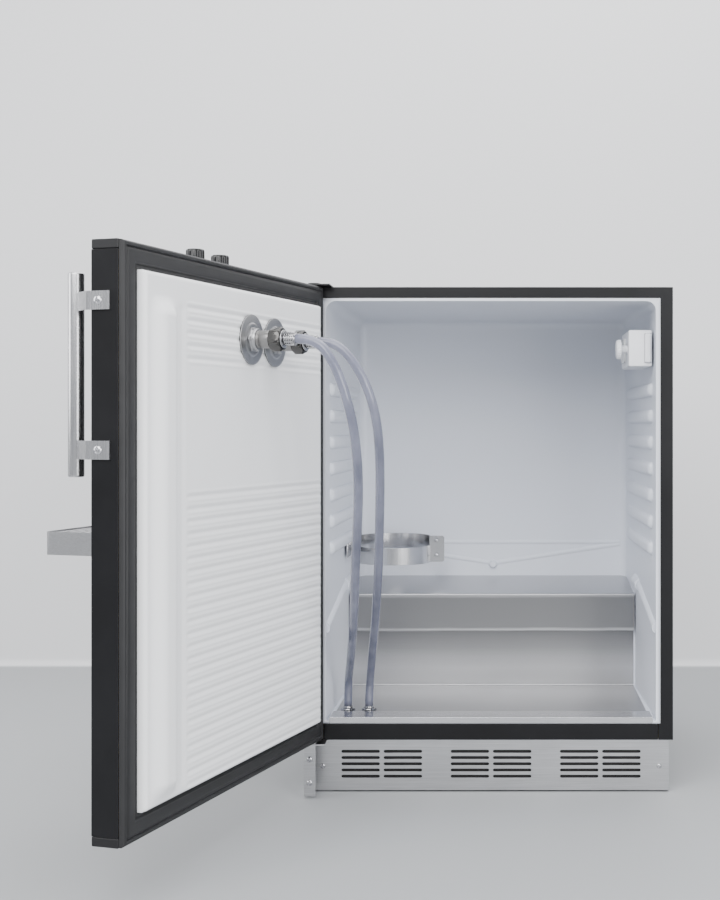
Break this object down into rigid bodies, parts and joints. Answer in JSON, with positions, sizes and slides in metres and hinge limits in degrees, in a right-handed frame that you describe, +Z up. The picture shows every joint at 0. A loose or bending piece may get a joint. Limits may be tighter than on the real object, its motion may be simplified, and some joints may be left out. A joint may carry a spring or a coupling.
{
  "type": "kegerator",
  "caption": "Under-counter draught beer cooler with a left-hinged door standing open, taps, bar handle and drip tray on the door, beer lines and gas cylinder strap inside.",
  "frame": {"origin": "middle of the footprint's bounding box on the floor, with the door open at rest and the beer lines left out", "axes": "+Z up; +Y into the cabinet, from its open front to its back; +X to the right as seen from the front"},
  "size_m": [0.8994, 1.1346, 0.863],
  "materials": {
    "black_enamel": "satin black enamel on steel",
    "black_plastic": "moulded black plastic, fine grain",
    "white_liner": "vacuum-formed white liner, satin",
    "white_plastic": "moulded white plastic, satin",
    "lens": "frosted translucent plastic",
    "foam": "rigid foamed-in-place insulation",
    "gasket_rubber": "soft dark grey magnetic gasket",
    "stainless": "brushed stainless",
    "chrome": "bright plated",
    "galvanised": "zinc-coated steel sheet",
    "compressor_black": "gloss black stove enamel",
    "clear_vinyl": "clear flexible tubing, slightly cloudy"
  },
  "bodies": {
    "cabinet": {"outer_wrapper": "black_enamel", "bottom_front_rail": "black_enamel", "upper_hinge_bracket": "black_plastic", "fan_shroud": "black_plastic", "evaporation_tray": "black_plastic", "inner_liner": "white_liner", "lamp_housing": "white_plastic", "lamp_lens": "lens", "insulation_foam": "foam", "floor_plate": "stainless", "threshold_strip": "stainless", "kick_plate": "stainless", "lower_hinge_bracket": "stainless", "bracket_screw_upper": "stainless", "bracket_screw_lower": "stainless", "co2_rear_strap": "stainless", "co2_front_strap": "stainless", "co2_screw_upper": "stainless", "co2_screw_lower": "stainless", "line_connector_1": "chrome", "line_connector_2": "chrome", "back_panel": "galvanised", "base_pan": "galvanised", "left_foot_rail": "galvanised", "right_foot_rail": "galvanised", "condenser": "galvanised", "compressor": "compressor_black"},
    "door": {"door_outer_panel": "black_enamel", "door_bottom_cap": "black_plastic", "door_top_cap": "black_plastic", "door_foam": "foam", "door_liner": "white_liner", "door_gasket": "gasket_rubber", "handle_bar": "stainless", "handle_bracket_upper": "stainless", "handle_bracket_lower": "stainless", "handle_screw_upper": "stainless", "handle_screw_lower": "stainless", "shank_flange_1": "stainless", "shank_flange_2": "stainless", "tap_shank_1": "chrome", "tap_shank_2": "chrome", "beer_nut_1": "chrome", "beer_nut_2": "chrome", "faucet_body_1": "chrome", "faucet_body_2": "chrome", "tray_bracket": "stainless", "beer_line_1": "clear_vinyl", "beer_line_2": "clear_vinyl"},
    "tap_lever_1": {"tap_lever_1": "black_plastic"},
    "tap_lever_2": {"tap_lever_2": "black_plastic"},
    "drip_tray": {"drip_tray": "stainless"},
    "drip_grid": {"drip_grid": "stainless"},
    "thermostat_knob": {"thermostat_knob": "white_plastic"},
    "light_switch": {"light_switch": "white_plastic"},
    "fan_rotor": {"fan_rotor": "black_plastic"},
    "front_left_foot": {"front_left_foot": "black_plastic"},
    "rear_left_foot": {"rear_left_foot": "black_plastic"},
    "front_right_foot": {"front_right_foot": "black_plastic"},
    "rear_right_foot": {"rear_right_foot": "black_plastic"}
  },
  "joints": [
    {"name": "door_hinge", "type": "hinge", "parent": "cabinet", "child": "door", "pos_m": [-0.13921, 0.00083, 0.092], "axis": [0, 0, 1], "range_deg": [0, 106.3], "deforming": ["beer_line_1", "beer_line_2"]},
    {"name": "tap_lever_1_pull", "type": "hinge", "parent": "door", "child": "tap_lever_1", "pos_m": [-0.27816, -0.24204, 0.7539], "axis": [-0.2807, -0.9598, 0], "range_deg": [0, 35]},
    {"name": "tap_lever_2_pull", "type": "hinge", "parent": "door", "child": "tap_lever_2", "pos_m": [-0.25722, -0.17043, 0.7539], "axis": [-0.2807, -0.9598, 0], "range_deg": [0, 35]},
    {"name": "drip_tray_lift", "type": "slide", "parent": "door", "child": "drip_tray", "axis": [0, 0, 1], "range_m": [0, 0.06]},
    {"name": "drip_grid_lift", "type": "slide", "parent": "drip_tray", "child": "drip_grid", "axis": [0, 0, 1], "range_m": [0, 0.05]},
    {"name": "thermostat_turn", "type": "hinge", "parent": "cabinet", "child": "thermostat_knob", "pos_m": [0.38329, 0.07233, 0.735], "axis": [1, 0, 0], "range_deg": [-135, 135]},
    {"name": "light_switch_press", "type": "slide", "parent": "cabinet", "child": "light_switch", "axis": [0, 1, 0], "range_m": [0, 0.003], "stiffness_N_per_m": 600},
    {"name": "fan_spin", "type": "hinge", "parent": "cabinet", "child": "fan_rotor", "pos_m": [-0.00521, 0.50283, 0.172], "axis": [0, 1, 0], "continuous": true},
    {"name": "front_left_foot_turn", "type": "hinge", "parent": "cabinet", "child": "front_left_foot", "pos_m": [-0.11521, 0.13733, 0], "axis": [0, 0, 1], "continuous": true},
    {"name": "front_right_foot_turn", "type": "hinge", "parent": "cabinet", "child": "front_right_foot", "pos_m": [0.41479, 0.13733, 0], "axis": [0, 0, 1], "continuous": true},
    {"name": "rear_left_foot_turn", "type": "hinge", "parent": "cabinet", "child": "rear_left_foot", "pos_m": [-0.11521, 0.50733, 0], "axis": [0, 0, 1], "continuous": true},
    {"name": "rear_right_foot_turn", "type": "hinge", "parent": "cabinet", "child": "rear_right_foot", "pos_m": [0.41479, 0.50733, 0], "axis": [0, 0, 1], "continuous": true}
  ]
}
